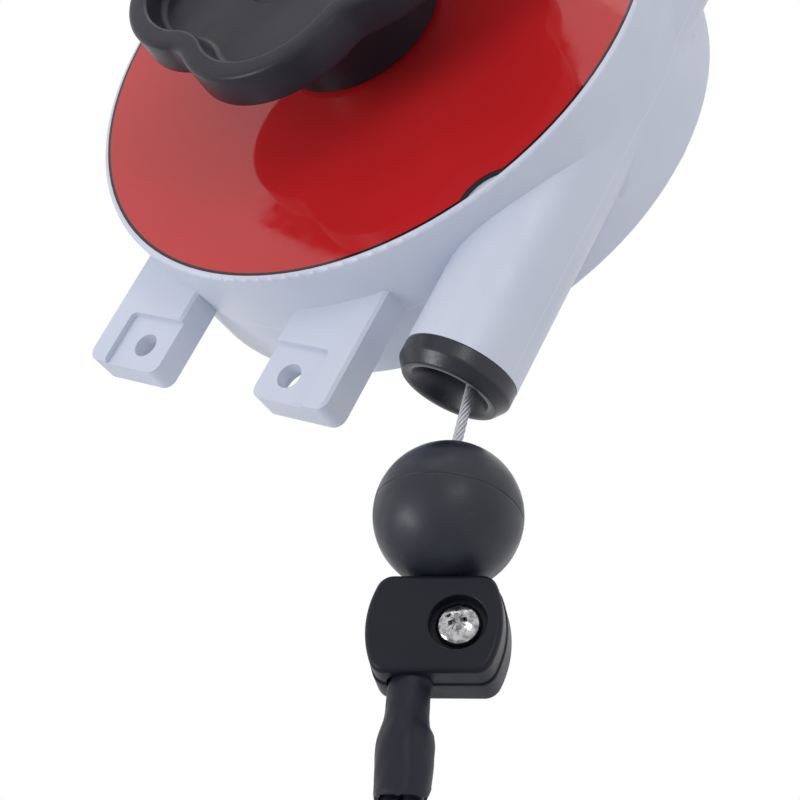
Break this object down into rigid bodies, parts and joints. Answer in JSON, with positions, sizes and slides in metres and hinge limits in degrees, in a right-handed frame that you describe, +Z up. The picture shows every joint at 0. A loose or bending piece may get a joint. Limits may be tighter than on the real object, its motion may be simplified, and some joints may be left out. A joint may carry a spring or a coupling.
{
  "type": "tool balancer",
  "caption": "Spring balancer: a round housing with a tension knob hangs by a swivel hook, and a wire rope with a stop ball, clamp, loop and snap hook carries a hand tool.",
  "frame": {"origin": "middle of the top hook's bowl, on the rope's line of pull", "axes": "+Z up, -Y the front with the tension knob, +X towards the rope's side"},
  "size_m": [0.1895, 0.0654, 0.3211],
  "materials": {
    "housing": "satin moulded, bluish light grey",
    "plate": "glossy red sheet with a black edge",
    "knob": "satin near-black",
    "bush": "satin black",
    "ball": "matte black rubber",
    "clamp": "satin black",
    "sleeve": "matte black",
    "chrome": "bright",
    "washer": "satin black",
    "steel": "zinc plated",
    "spring": "blued spring steel",
    "bearing": "sintered bronze",
    "drum": "cast, machined grooves",
    "ferrule": "pressed",
    "rope": "stranded wire",
    "hook": "zinc plated forged bar",
    "latch": "zinc plated sheet"
  },
  "bodies": {
    "housing": {"front_housing": "housing", "rear_housing": "housing", "housing_screws": "steel", "face_plate": "plate", "front_bush": "bearing", "rear_bush": "bearing", "pawl_pin": "steel", "nozzle_bush": "bush", "rope_lead": "rope", "pawl_spring": "spring"},
    "winder": {"arbor": "steel", "knob": "knob", "knob_washer": "washer", "knob_screw": "chrome", "ratchet_wheel": "steel"},
    "pawl": {"pawl": "steel"},
    "drum": {"drum": "drum", "drum_cover": "drum", "cover_screws": "steel", "drum_bushes": "bearing", "spiral_spring": "spring", "wound_rope": "rope", "rope_anchor": "ferrule"},
    "rope_throat": {"rope_throat": "rope"},
    "rope_swing": {"rope": "rope"},
    "rope_end": {"stop_ball": "ball", "clamp_front": "clamp", "clamp_rear": "clamp", "clamp_screw": "chrome", "clamp_nut": "steel", "rope_sleeve": "sleeve", "loop_ferrule": "ferrule", "rope_loop": "sleeve", "rope_tail": "rope"},
    "swivel_eye": {"swivel_eye": "hook"},
    "snap_hook": {"snap_hook": "hook", "snap_gate_pin": "steel"},
    "snap_gate": {"snap_gate": "latch"},
    "top_hook": {"top_hook": "hook", "hook_latch_pin": "steel"},
    "hook_latch": {"hook_latch": "latch"}
  },
  "joints": [
    {"name": "knob_turn", "type": "hinge", "parent": "housing", "child": "winder", "pos_m": [-0.0536, 0, -0.088], "axis": [0, 1, 0], "continuous": true},
    {"name": "pawl_swing", "type": "hinge", "parent": "housing", "child": "pawl", "pos_m": [-0.0346, 0, -0.0705], "axis": [0, 1, 0], "range_deg": [0, 12], "stiffness_Nm_per_rad": 0.05, "springref_deg": -5.73, "deforming": ["pawl_spring"]},
    {"name": "drum_spin", "type": "hinge", "parent": "housing", "child": "drum", "pos_m": [-0.0536, 0, -0.088], "axis": [0, 1, 0], "range_deg": [-20, 1400], "deforming": ["wound_rope", "spiral_spring"]},
    {"name": "rope_swing_side", "type": "hinge", "parent": "housing", "child": "rope_throat", "pos_m": [0, 0, -0.142], "axis": [0, 1, 0], "range_deg": [-1, 25]},
    {"name": "rope_swing_front", "type": "hinge", "parent": "rope_throat", "child": "rope_swing", "pos_m": [0, 0, -0.142], "axis": [1, 0, 0], "range_deg": [-7, 7]},
    {"name": "rope_pull", "type": "slide", "parent": "rope_swing", "child": "rope_end", "axis": [0.2756, 0, -0.9613], "range_m": [-0.0095, 1.3], "stiffness_N_per_m": 10, "springref_m": -0.05, "deforming": ["rope"]},
    {"name": "eye_swing", "type": "hinge", "parent": "rope_end", "child": "swivel_eye", "pos_m": [0.04415, 0, -0.26109], "axis": [0.8647, 0.309, 0.3959], "range_deg": [-40, 40]},
    {"name": "snap_swivel", "type": "hinge", "parent": "swivel_eye", "child": "snap_hook", "pos_m": [0.04956, 0, -0.27291], "axis": [0.4163, 0, -0.9092], "continuous": true},
    {"name": "snap_gate_swing", "type": "hinge", "parent": "snap_hook", "child": "snap_gate", "pos_m": [0.052, 0, -0.27826], "axis": [0.281, -0.9511, 0.1286], "range_deg": [-24, 0], "stiffness_Nm_per_rad": 0.05, "springref_deg": 11.46},
    {"name": "top_swivel", "type": "hinge", "parent": "housing", "child": "top_hook", "pos_m": [0, 0, -0.03], "axis": [0, 0, 1], "continuous": true},
    {"name": "hook_latch_swing", "type": "hinge", "parent": "top_hook", "child": "hook_latch", "pos_m": [0, 0, -0.02127], "axis": [0, 1, 0], "range_deg": [-24, 0], "stiffness_Nm_per_rad": 0.1, "springref_deg": 11.46}
  ],
  "couplings": [
    {"joint": "drum_spin", "follows": "rope_pull", "rad_per_m": 18.657}
  ]
}
